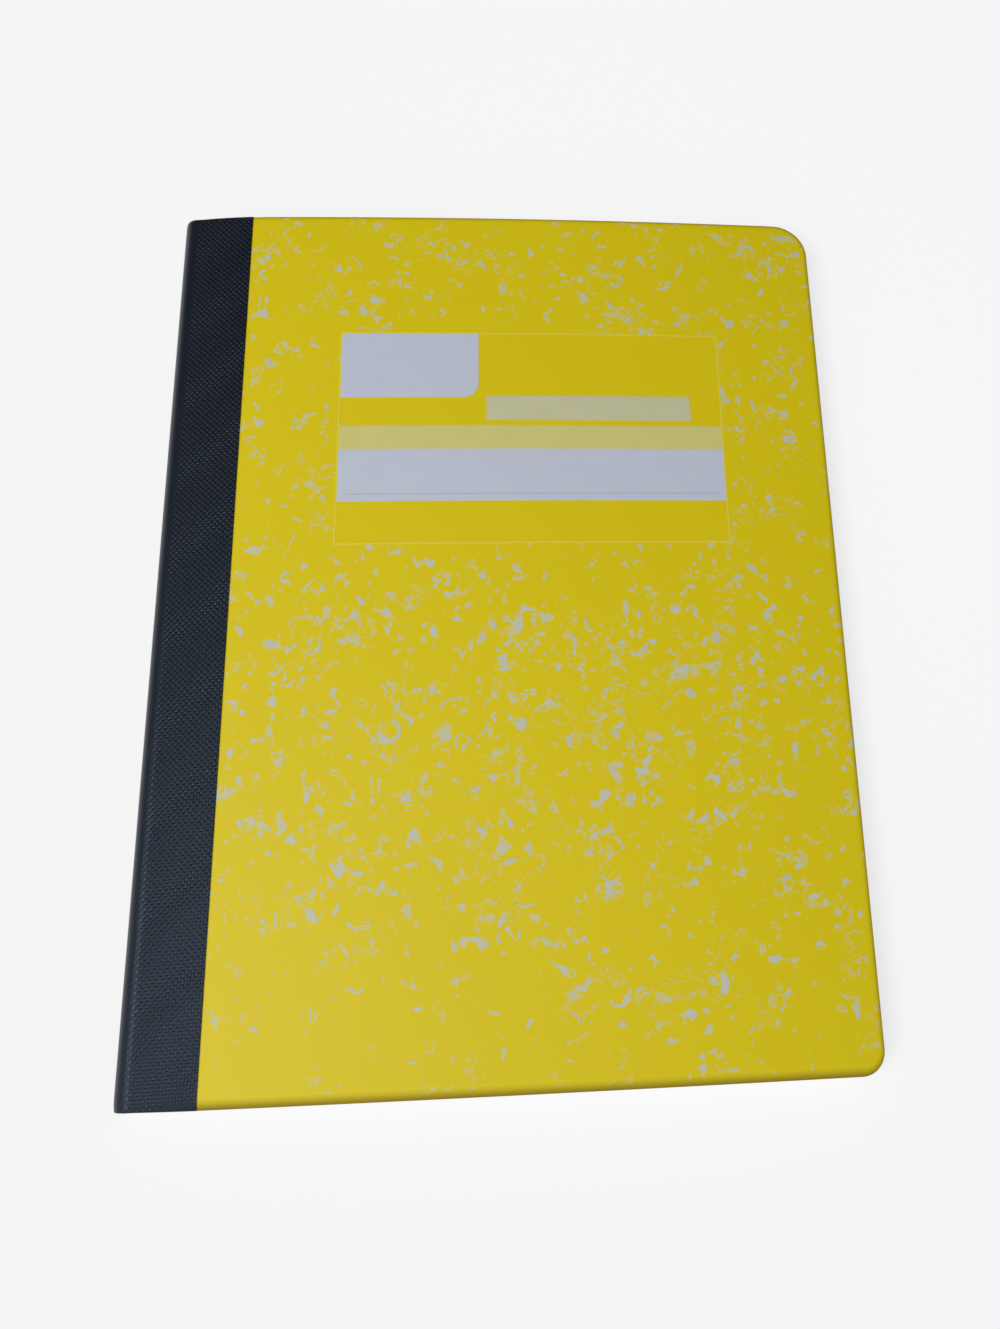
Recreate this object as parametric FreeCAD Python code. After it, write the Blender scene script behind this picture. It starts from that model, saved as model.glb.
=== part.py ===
# Composition notebook, closed and lying on its back cover. All lengths are millimetres.
# X runs from the spine to the fore-edge, Y up the page to the head, Z up.
# The origin is the middle of the footprint, on the surface that the notebook lies on.
import FreeCAD, Part
import math
import os
import random

from FreeCAD import Vector

# Trimmed size of the closed notebook
cover_width = 190.5
cover_height = 247.65
notebook_thickness = 12.8
head_corner_radius = 10.2
tail_corner_radius = 6.2
edge_round = 0.5

# Layers, from the outside in
tape_thickness = 0.25
glue_thickness = 0.05
board_thickness = 0.9
pastedown_thickness = 0.1
cover_gap = 0.25
ink_thickness = 0.05

# Curve of the front cover: a long crown over the leaves, then a closer bend down to the spine
crest_from_spine = 88.0
crown_radius = 2250.0
bend_from_spine = 28.0
bend_radius = 160.0

# Binding tape, with a crease at each shoulder of the spine
tape_reach = 21.2
crease_gap = 0.3
hinge_lift = 0.1
board_setback = 1.2
board_clearance = 0.35

# Sewing through the fold of the leaves
fold_gap = 0.3
thread_diameter = 0.5
tie_diameter = 0.4
thread_clearance = 0.05
stitch_pitch = 8.0
stitch_margin = 6.0

# Printed label, placed from the spine and from the tail edge
label_from_spine = 48.6
label_from_tail = 142.2
label_width = 111.4
label_height = 66.0
frame_line_width = 0.5
name_box_rise = 12.8
name_box_height = 15.9
pale_strip_height = 7.4
title_bar_gap = 1.6
title_bar_height = 7.8
title_bar_to_frame = 9.0
corner_block_width = 39.5
corner_block_height = 20.6
corner_block_round = 4.5
block_to_title = 2.3
writing_line_rise = 2.0
writing_line_inset = 1.5
writing_line_width = 0.25

# Marbled print: how many marks of each kind a cover carries, and how large they are
ring_count = 15
hook_count = 62
blot_count = 84
chip_count = 120
back_share = 0.5
smallest_ring = 2.4
largest_ring = 4.6
smallest_hook = 1.2
largest_hook = 3.2
smallest_blot = 0.9
largest_blot = 2.4
smallest_chip = 0.3
largest_chip = 0.8
thinnest_stroke = 0.5
thickest_stroke = 1.2
slimness = (0.4, 0.8)
mark_spacing = 0.25
print_margin = 0.8
front_seed = 41
back_seed = 77

# Places worked out from the sizes above
spine_x = -cover_width / 2
fore_x = cover_width / 2
tail_y = -cover_height / 2
head_y = cover_height / 2
tape_edge_x = spine_x + tape_reach
crest_x = spine_x + crest_from_spine
crown_centre = Vector(crest_x, 0, notebook_thickness - crown_radius)
bend_angle = 90 + math.degrees(math.asin((crest_from_spine - bend_from_spine) / crown_radius))
leaves_depth = board_thickness + pastedown_thickness
board_floor = tape_thickness + glue_thickness
leaves_floor = board_floor + leaves_depth

# The layers are drawn this much too long, and the trimming knife cuts them together
knife_overrun = 2.0
uncut_x = fore_x + knife_overrun
uncut_y = tail_y - knife_overrun
uncut_height = cover_height + 2 * knife_overrun


def polar(centre, radius, angle):
    """Point of the section at an angle in degrees about a centre."""
    turn = math.radians(angle)
    return Vector(centre.x + radius * math.cos(turn), uncut_y, centre.z + radius * math.sin(turn))


def bend_middle():
    """Centre of the bend, which runs smoothly on from the crown."""
    meeting = polar(crown_centre, crown_radius - bend_radius, bend_angle)
    return Vector(meeting.x, 0, meeting.z)


bend_centre = bend_middle()


def round_radius():
    """Radius of the spine's round, which touches the bend, the floor of the back board and the spine side."""
    across = bend_centre.x - spine_x - board_floor
    below = bend_centre.z - board_floor
    half = bend_radius - across - below
    return math.sqrt(half ** 2 - across ** 2 - below ** 2 + bend_radius ** 2) - half


spine_radius = round_radius()
tape_radius = spine_radius + board_floor
spine_centre = Vector(spine_x + tape_radius, 0, tape_radius)
shoulder_angle = 90 + math.degrees(math.atan2(bend_centre.x - spine_centre.x, spine_centre.z - bend_centre.z))


def arc(centre, radius, first, last):
    """Arc of the section from one angle to another."""
    middle = (first + last) / 2
    points = [polar(centre, radius, angle) for angle in (first, middle, last)]
    return Part.Arc(*points).toShape()


def line(first, last):
    """Straight edge between two points."""
    return Part.LineSegment(first, last).toShape()


def drawn_out(edges):
    """Solid from a closed section, still untrimmed at the tail and the head."""
    section = Part.Face(Part.Wire(Part.__sortEdges__(edges)))
    return section.extrude(Vector(0, uncut_height, 0))


fore_angle = 90 - math.degrees(math.asin((uncut_x - crest_x) / crown_radius))


def along_bend(distance):
    """Angle on the bend at a distance from the front crease."""
    return shoulder_angle - math.degrees(distance / bend_radius)


def front_curve(depth, start):
    """Two arcs that follow the front cover at a depth, from an angle on the bend past the fore-edge."""
    return [
        arc(bend_centre, bend_radius - depth, start, bend_angle),
        arc(crown_centre, crown_radius - depth, bend_angle, fore_angle),
    ]


def front_band(outer_depth, inner_depth, setback):
    """Layer of the front cover between two depths below the board's outer face."""
    start = along_bend(setback)
    outer = front_curve(outer_depth, start)
    inner = front_curve(inner_depth, start)
    spine_end = line(
        polar(bend_centre, bend_radius - outer_depth, start),
        polar(bend_centre, bend_radius - inner_depth, start),
    )
    fore_end = line(
        polar(crown_centre, crown_radius - outer_depth, fore_angle),
        polar(crown_centre, crown_radius - inner_depth, fore_angle),
    )
    return drawn_out(outer + inner + [spine_end, fore_end])


def back_band(low_z, high_z, setback):
    """Flat layer of the back cover between two heights."""
    start_x = spine_centre.x + setback
    corner = Vector(start_x, uncut_y, low_z)
    return Part.makeBox(uncut_x - start_x, uncut_height, high_z - low_z, corner)


def corner_arc(radius, side):
    """Round corner of the trimmed outline, at the head (side 1) or at the tail (side -1)."""
    centre = Vector(fore_x - radius, side * (head_y - radius), 0)
    angles = (0, side * math.pi / 4, side * math.pi / 2)
    points = [centre + Vector(math.cos(angle), math.sin(angle), 0) * radius for angle in angles]
    return Part.Arc(*points).toShape()


def trim_block():
    """All that the trimming knife leaves: cut at head, tail and fore-edge, with two round corners."""
    head_arc = corner_arc(head_corner_radius, 1)
    tail_arc = corner_arc(tail_corner_radius, -1)
    past_spine = spine_x - knife_overrun
    edges = [
        head_arc,
        tail_arc,
        line(tail_arc.valueAt(tail_arc.FirstParameter), head_arc.valueAt(head_arc.FirstParameter)),
        line(head_arc.valueAt(head_arc.LastParameter), Vector(past_spine, head_y, 0)),
        line(Vector(past_spine, head_y, 0), Vector(past_spine, tail_y, 0)),
        line(Vector(past_spine, tail_y, 0), tail_arc.valueAt(tail_arc.LastParameter)),
    ]
    outline = Part.Face(Part.Wire(Part.__sortEdges__(edges)))
    outline.translate(Vector(0, 0, -knife_overrun))
    return outline.extrude(Vector(0, 0, notebook_thickness + 2 * knife_overrun))


def trimmed(shape):
    """Shape as the trimming knife leaves it."""
    return shape.common(trim_block()).Solids[0]


def front_height(x):
    """Height of the front board's outer face at a place across the cover."""
    centre, radius = bend_centre, bend_radius
    if x > spine_x + bend_from_spine:
        centre, radius = crown_centre, crown_radius
    return centre.z + math.sqrt(radius ** 2 - (x - centre.x) ** 2)


def back_height(x):
    """Height of the back board's outer face, the same all over."""
    return board_floor


def rim_edges(board, height_at):
    """Edges of a board's outer face along the three trimmed sides."""
    nearness = edge_round / 50
    inner_x = fore_x - max(head_corner_radius, tail_corner_radius)
    chosen = []
    for edge in board.Edges:
        middle = edge.valueAt((edge.FirstParameter + edge.LastParameter) / 2)
        ends = [vertex.Point for vertex in edge.Vertexes]
        on_face = all(abs(point.z - height_at(point.x)) < nearness for point in ends + [middle])
        on_side = abs(middle.y) > head_y - tail_corner_radius or middle.x > inner_x
        if on_face and on_side:
            chosen.append(edge)
    return chosen


def rounded_rim(board, height_at):
    """Board with its outer rim rolled over on the trimmed sides."""
    radius = min(edge_round, 0.9 * board_thickness)
    return board.makeFillet(radius, rim_edges(board, height_at)).Solids[0]


def front_cover_board():
    """Front board, curved over the leaves."""
    board = trimmed(front_band(0, board_thickness, board_setback))
    return rounded_rim(board, front_height)


def back_cover_board():
    """Back board, flat on the table."""
    board = trimmed(back_band(board_floor, board_floor + board_thickness, board_setback))
    return rounded_rim(board, back_height)


def front_pastedown():
    """Lining paper on the inside of the front board."""
    return trimmed(front_band(board_thickness, leaves_depth, board_setback))


def back_pastedown():
    """Lining paper on the inside of the back board."""
    return trimmed(back_band(board_floor + board_thickness, leaves_floor, board_setback))


def left_of(shape, x):
    """Part of a shape on the spine side of a place."""
    width = x - spine_x + knife_overrun
    tall = notebook_thickness + 2 * knife_overrun
    corner = Vector(spine_x - knife_overrun, tail_y, -knife_overrun)
    return shape.common(Part.makeBox(width, cover_height, tall, corner)).Solids[0]


def front_tape_flap():
    """Binding tape on the front board, from the front crease to the tape's edge."""
    return left_of(front_band(-board_floor, -glue_thickness, crease_gap / 2), tape_edge_x)


def back_tape_flap():
    """Binding tape under the back board, from the back crease to the tape's edge."""
    return left_of(back_band(0, tape_thickness, crease_gap / 2), tape_edge_x)


def spine_tape():
    """Binding tape round the spine, between the two creases."""
    back_off = math.degrees(crease_gap / 2 / spine_radius)
    first = shoulder_angle + back_off
    last = 270 - back_off
    inner_radius = tape_radius - tape_thickness
    ends = [
        line(polar(spine_centre, inner_radius, angle), polar(spine_centre, tape_radius, angle))
        for angle in (first, last)
    ]
    arcs = [arc(spine_centre, radius, first, last) for radius in (inner_radius, tape_radius)]
    return trimmed(drawn_out(arcs + ends))


def leaves_section():
    """Closed section of the leaves: the round fold, a step down under each board, and the crowned top."""
    step = board_setback - board_clearance
    step_angle = along_bend(step)
    fold_radius = spine_radius - fold_gap
    top_depth = leaves_depth + cover_gap
    shoulder_z = board_floor + fold_gap
    step_x = spine_centre.x + step
    fold_foot = Vector(spine_centre.x, uncut_y, shoulder_z)
    step_low = Vector(step_x, uncut_y, shoulder_z)
    step_high = Vector(step_x, uncut_y, leaves_floor)
    fore_low = Vector(uncut_x, uncut_y, leaves_floor)
    fore_high = polar(crown_centre, crown_radius - top_depth, fore_angle)
    shoulder_edge = polar(bend_centre, bend_radius - fold_gap, step_angle)
    shoulder_root = polar(bend_centre, bend_radius - top_depth, step_angle)
    return front_curve(top_depth, step_angle) + [
        arc(spine_centre, fold_radius, shoulder_angle, 270),
        arc(bend_centre, bend_radius - fold_gap, shoulder_angle, step_angle),
        line(shoulder_edge, shoulder_root),
        line(fore_high, fore_low),
        line(fore_low, step_high),
        line(step_high, step_low),
        line(step_low, fold_foot),
    ]


def rod(diameter, start, direction, length):
    """Straight piece of thread."""
    return Part.makeCylinder(diameter / 2, length, start, direction)


def sewing(clearance):
    """Lockstitch through the fold: a run outside, a run inside and a tie through each hole."""
    outer_x = spine_centre.x - spine_radius + fold_gap
    level = spine_centre.z
    run = thread_diameter + 2 * clearance
    tie = tie_diameter + 2 * clearance
    pieces = [
        rod(run, Vector(outer_x, tail_y, level), Vector(0, 1, 0), cover_height),
        rod(run, Vector(spine_centre.x, tail_y, level), Vector(0, 1, 0), cover_height),
    ]
    gaps = int((cover_height - 2 * stitch_margin) // stitch_pitch)
    for number in range(gaps + 1):
        place_y = (number - gaps / 2) * stitch_pitch
        start = Vector(outer_x, place_y, level)
        pieces.append(rod(tie, start, Vector(1, 0, 0), spine_centre.x - outer_x))
    return pieces[0].fuse(pieces[1:]).Solids[0]


def sewing_thread():
    """The thread itself, cut flush at head and tail."""
    return sewing(0)


def page_block():
    """One hundred leaves as one solid, with the channel that the sewing runs in."""
    leaves = trimmed(drawn_out(leaves_section()))
    return leaves.cut(sewing(thread_clearance)).Solids[0]


def prism(outline):
    """Upright solid over an outline of (x, y) corners, tall enough to pass through the cover."""
    corners = [Vector(x, y, -knife_overrun) for x, y in outline]
    face = Part.Face(Part.makePolygon(corners + corners[:1]))
    return face.extrude(Vector(0, 0, notebook_thickness + 2 * knife_overrun))


def field(left, low, width, height):
    """Upright block over a rectangle of the cover."""
    corners = [(left, low), (left + width, low), (left + width, low + height), (left, low + height)]
    return prism(corners)


def printed(block, layer=0):
    """Film of ink on the front board wherever the block stands."""
    film = front_band(-(layer + 1) * ink_thickness, -layer * ink_thickness, board_setback)
    return film.common(block)


label_x = spine_x + label_from_spine
label_y = tail_y + label_from_tail
panel_x = label_x + frame_line_width
panel_y = label_y + frame_line_width
panel_width = label_width - 2 * frame_line_width
panel_height = label_height - 2 * frame_line_width
name_box_y = label_y + name_box_rise
pale_strip_y = name_box_y + name_box_height
title_bar_y = pale_strip_y + pale_strip_height + title_bar_gap
corner_block_y = panel_y + panel_height - corner_block_height


def label_frame_line():
    """Thin line round the label panel."""
    outer = field(label_x, label_y, label_width, label_height)
    return printed(outer.cut(field(panel_x, panel_y, panel_width, panel_height)))


def label_corner_block():
    """Pale block in the panel's upper corner, with one round corner."""
    block = field(panel_x, corner_block_y, corner_block_width, corner_block_height)
    far_x = panel_x + corner_block_width
    rounded = []
    for edge in block.Edges:
        ends = [vertex.Point for vertex in edge.Vertexes]
        if all(abs(end.x - far_x) + abs(end.y - corner_block_y) < frame_line_width for end in ends):
            rounded.append(edge)
    return printed(block.makeFillet(corner_block_round, rounded))


def label_title_bar():
    """Pale bar beside the corner block, left without a title."""
    left = panel_x + corner_block_width + block_to_title
    right = panel_x + panel_width - title_bar_to_frame
    return printed(field(left, title_bar_y, right - left, title_bar_height))


def label_pale_strip():
    """Pale yellow strip across the panel."""
    return printed(field(panel_x, pale_strip_y, panel_width, pale_strip_height))


def label_name_box():
    """Pale box to write in."""
    return printed(field(panel_x, name_box_y, panel_width, name_box_height))


def label_writing_line():
    """Fine line to write on, over the name box."""
    left = panel_x + writing_line_inset
    width = panel_width - 2 * writing_line_inset
    line_block = field(left, name_box_y + writing_line_rise, width, writing_line_width)
    return printed(line_block, layer=1)


def star_outline(dice, place, reach, corners):
    """Ragged shape, longer one way than the other, with its corners at uneven distances from its place."""
    turn = dice.uniform(0, math.tau)
    slim = dice.uniform(*slimness)
    outline = []
    for number in range(corners):
        angle = math.tau * (number + dice.uniform(-0.28, 0.28)) / corners
        radius = reach * dice.uniform(0.5, 1.0)
        along, across = radius * math.cos(angle), slim * radius * math.sin(angle)
        x = place[0] + along * math.cos(turn) - across * math.sin(turn)
        y = place[1] + along * math.sin(turn) + across * math.cos(turn)
        outline.append((x, y))
    return outline


def hook_outline(dice, place, radius, first, sweep):
    """Crescent stroke about its place, thick in the middle and thin at its ends."""
    width = min(dice.uniform(thinnest_stroke, thickest_stroke), 0.6 * radius)
    steps = max(3, math.ceil(sweep / 0.6))
    outer = [(number / steps, dice.uniform(-0.25, 0.1)) for number in range(steps + 1)]
    inner = [((number + 0.5) / steps, -dice.uniform(0.7, 1.1)) for number in reversed(range(steps))]
    outline = []
    for share, depth in outer + inner:
        angle = first + share * sweep
        distance = radius + depth * width
        outline.append((place[0] + distance * math.cos(angle), place[1] + distance * math.sin(angle)))
    return outline


def ring_outlines(dice, place, radius):
    """Broken ring: strokes about one place with gaps between them."""
    strokes = dice.choice((2, 3))
    start = dice.uniform(0, math.tau)
    outlines = []
    for number in range(strokes):
        first = start + math.tau * number / strokes
        sweep = math.tau / strokes * dice.uniform(0.5, 0.8)
        outlines.append(hook_outline(dice, place, radius * dice.uniform(0.85, 1.0), first, sweep))
    return outlines


def mark_density(place):
    """How readily a mark lands at a place: most below the middle, least at the foot of the spine."""
    across = (place[0] - spine_x) / cover_width
    up = (place[1] - tail_y) / cover_height
    low_band = math.exp(-((up - 0.38) / 0.16) ** 2)
    head_band = math.exp(-((up - 0.95) / 0.1) ** 2)
    foot = math.exp(-((up - 0.08) / 0.12) ** 2) * math.exp(-((across - 0.25) / 0.2) ** 2)
    return min(1.0, 0.45 + 0.5 * low_band + 0.35 * head_band - 0.35 * foot)


def inside_cover(place, reach):
    """Whether a mark lies whole on the bare board, clear of the tape, the rim and the round corners."""
    margin = reach + print_margin + edge_round
    across = tape_edge_x + reach < place[0] < fore_x - margin
    upright = tail_y + margin < place[1] < head_y - margin
    corner = max(head_corner_radius, tail_corner_radius)
    past_x = place[0] - (fore_x - corner)
    past_y = abs(place[1]) - (head_y - corner)
    in_corner = past_x > 0 and past_y > 0 and math.hypot(past_x, past_y) > corner - margin
    return across and upright and not in_corner


def outside_label(place, reach):
    """Whether a mark stays off the label."""
    beside = place[0] < label_x - reach or place[0] > label_x + label_width + reach
    above_or_below = place[1] < label_y - reach or place[1] > label_y + label_height + reach
    return beside or above_or_below


def free_place(dice, taken, reach, keeps_label):
    """Random place for a mark of this reach that meets no other mark, or nothing if none was found."""
    for _ in range(200):
        place = (dice.uniform(tape_edge_x, fore_x), dice.uniform(tail_y, head_y))
        if not inside_cover(place, reach) or dice.random() > mark_density(place):
            continue
        if keeps_label and not outside_label(place, reach):
            continue
        if all(math.dist(place, other[:2]) > reach + other[2] + mark_spacing for other in taken):
            taken.append((place[0], place[1], reach))
            return place
    return None


def marbled_outlines(seed, share, keeps_label):
    """Outlines of all the marks on one cover, which carries a share of the full number."""
    dice = random.Random(seed)
    taken = []
    outlines = []
    kinds = [
        ("ring", ring_count, smallest_ring, largest_ring),
        ("hook", hook_count, smallest_hook, largest_hook),
        ("blot", blot_count, smallest_blot, largest_blot),
        ("chip", chip_count, smallest_chip, largest_chip),
    ]
    for kind, count, smallest, largest in kinds:
        for _ in range(round(count * share)):
            reach = dice.uniform(smallest, largest)
            place = free_place(dice, taken, reach, keeps_label)
            if place is None:
                continue
            if kind == "ring":
                outlines += ring_outlines(dice, place, reach)
            elif kind == "hook":
                first = dice.uniform(0, math.tau)
                outlines.append(hook_outline(dice, place, reach, first, dice.uniform(1.2, 3.0)))
            elif kind == "blot":
                outlines.append(star_outline(dice, place, reach, dice.choice((8, 9, 10))))
            else:
                outlines.append(star_outline(dice, place, reach, dice.choice((3, 4, 5))))
    return outlines


def front_slope(x):
    """Slope of the front board's outer face at a place across the cover, in degrees."""
    centre = crown_centre if x > spine_x + bend_from_spine else bend_centre
    return math.degrees(math.atan2(x - centre.x, front_height(x) - centre.z))


def back_slope(x):
    """Slope of the back board's outer face, which is level."""
    return 0


def ink_mark(outline, height_at, slope_at, side):
    """One flat mark of ink on a cover's outer face, lying along the face under its middle."""
    middle_x = sum(x for x, _ in outline) / len(outline)
    middle_y = sum(y for _, y in outline) / len(outline)
    corners = [Vector(x - middle_x, y - middle_y, 0) for x, y in outline]
    mark = Part.Face(Part.makePolygon(corners + corners[:1])).extrude(Vector(0, 0, side * ink_thickness))
    mark.rotate(Vector(0, 0, 0), Vector(0, 1, 0), slope_at(middle_x))
    mark.translate(Vector(middle_x, middle_y, height_at(middle_x)))
    return mark


def front_marbling():
    """Pale marks printed on the front board, round the label."""
    outlines = marbled_outlines(front_seed, 1, True)
    return Part.makeCompound([ink_mark(outline, front_height, front_slope, 1) for outline in outlines])


def back_marbling():
    """Pale marks printed all over the back board, fewer than on the front."""
    outlines = marbled_outlines(back_seed, back_share, False)
    return Part.makeCompound([ink_mark(outline, back_height, back_slope, -1) for outline in outlines])


def print_hinges():
    """Print where the two covers turn: lines along Y just outside the tape's creases."""
    away = tape_radius + hinge_lift
    front = polar(spine_centre, away, shoulder_angle)
    back = polar(spine_centre, away, 270)
    print("front hinge x %.4f z %.4f" % (front.x, front.z))
    print("back hinge x %.4f z %.4f" % (back.x, back.z))


pieces = [
    page_block,
    sewing_thread,
    spine_tape,
    front_tape_flap,
    back_tape_flap,
    front_cover_board,
    back_cover_board,
    front_pastedown,
    back_pastedown,
    label_frame_line,
    label_corner_block,
    label_title_bar,
    label_pale_strip,
    label_name_box,
    label_writing_line,
    front_marbling,
    back_marbling,
]

os.makedirs("parts", exist_ok=True)
for make_piece in pieces:
    make_piece().exportStep("parts/%s.step" % make_piece.__name__)
print_hinges()
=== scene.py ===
"""Looks of a sewn composition notebook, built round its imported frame.

The closed notebook lies on its back cover with the spine to the left. Lengths are metres: X runs from the spine to
the fore-edge, Y up the page to the head, and Z up.
"""

import logging
import math
import random
from collections.abc import Iterable, Sequence
from dataclasses import dataclass
from enum import Enum
from functools import cached_property
from typing import Any

import bmesh
import bpy
from mathutils import Matrix, Vector, noise
from mathutils.kdtree import KDTree


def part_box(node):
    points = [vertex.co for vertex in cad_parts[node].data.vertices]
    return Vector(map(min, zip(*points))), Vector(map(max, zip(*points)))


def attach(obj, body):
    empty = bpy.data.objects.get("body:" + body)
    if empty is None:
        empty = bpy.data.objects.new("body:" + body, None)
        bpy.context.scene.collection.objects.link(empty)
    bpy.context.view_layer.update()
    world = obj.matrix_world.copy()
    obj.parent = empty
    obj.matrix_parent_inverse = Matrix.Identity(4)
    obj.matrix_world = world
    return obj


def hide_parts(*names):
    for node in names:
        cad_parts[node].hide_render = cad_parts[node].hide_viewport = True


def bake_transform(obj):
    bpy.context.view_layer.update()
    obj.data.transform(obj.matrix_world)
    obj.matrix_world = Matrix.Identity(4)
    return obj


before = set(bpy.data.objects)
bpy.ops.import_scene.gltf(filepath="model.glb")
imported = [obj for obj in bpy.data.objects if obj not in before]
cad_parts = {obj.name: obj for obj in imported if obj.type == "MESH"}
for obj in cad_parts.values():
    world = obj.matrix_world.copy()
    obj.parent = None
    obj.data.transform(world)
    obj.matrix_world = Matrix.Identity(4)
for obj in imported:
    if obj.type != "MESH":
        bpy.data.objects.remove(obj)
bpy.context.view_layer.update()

log = logging.getLogger("notebook")

MM = 0.001
GRAIN_PER_MM = 2.2
TOOTH_PER_METRE = 2400.0
TOOTH_DEPTH = 0.012 * MM
SHARP_ANGLE = math.radians(38)
STRAIGHT_DOWN = 1.5 * math.pi
ROUND_STEPS = 12
CUT_TOLERANCE = 1e-7
Socket = bpy.types.NodeSocket
Material = bpy.types.Material
Piece = bpy.types.Object
Form = bmesh.types.BMesh
Colour = tuple[float, float, float]
Rise = tuple[float, float]
Number = "Reading | float"


class Side(Enum):
    """Which of the two covers a piece belongs to."""

    FRONT = "front"
    BACK = "back"

    @property
    def body(self) -> str:
        """Name of the body that this cover is."""
        return f"{self.value}_cover"

    @property
    def outward(self) -> float:
        """One where this cover's outer face looks up, minus one where it looks down."""
        return 1.0 if self is Side.FRONT else -1.0


class Layout(Enum):
    """What a finish's pattern is laid out on."""

    PLACE = "Object"
    CLOTH = "UV"


class Reading:
    """A number that a material works out, which takes ordinary arithmetic."""

    def __init__(self, bench: "Bench", socket: Socket) -> None:
        """Wraps an output socket that carries a number, on the given node sheet."""
        self.bench = bench
        self.socket = socket

    def work(self, operation: str, *others: Number) -> "Reading":
        """Result of one Math node, whose inputs are this reading and then the others."""
        inputs = dict(enumerate((self, *others)))
        return self.bench.value("ShaderNodeMath", {"operation": operation}, inputs)

    def __add__(self, other: Number) -> "Reading":
        """Sum."""
        return self.work("ADD", other)

    __radd__ = __add__

    def __mul__(self, other: Number) -> "Reading":
        """Product."""
        return self.work("MULTIPLY", other)

    __rmul__ = __mul__

    def __sub__(self, other: Number) -> "Reading":
        """Difference."""
        return self.work("SUBTRACT", other)

    def __rsub__(self, other: float) -> "Reading":
        """Difference from a number."""
        return self.work("MULTIPLY", -1.0) + other

    def __truediv__(self, other: Number) -> "Reading":
        """Quotient."""
        return self.work("DIVIDE", other)

    def __abs__(self) -> "Reading":
        """Size without sign."""
        return self.work("ABSOLUTE")

    def __gt__(self, other: Number) -> "Reading":
        """One where this is the larger, else zero."""
        return self.work("GREATER_THAN", other)

    def __lt__(self, other: Number) -> "Reading":
        """One where this is the smaller, else zero."""
        return self.work("LESS_THAN", other)

    def top(self, other: Number) -> "Reading":
        """The larger of two."""
        return self.work("MAXIMUM", other)

    def sine(self) -> "Reading":
        """Sine of an angle in radians."""
        return self.work("SINE")

    def part(self) -> "Reading":
        """What is left over past the whole number below."""
        return self.work("FRACT")

    def rise(self, low: Number, high: Number) -> "Reading":
        """Zero below the low value, one above the high value, smooth between."""
        inputs = {"Value": self, "From Min": low, "From Max": high}
        return self.bench.value("ShaderNodeMapRange", {"interpolation_type": "SMOOTHSTEP"}, inputs)


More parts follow.
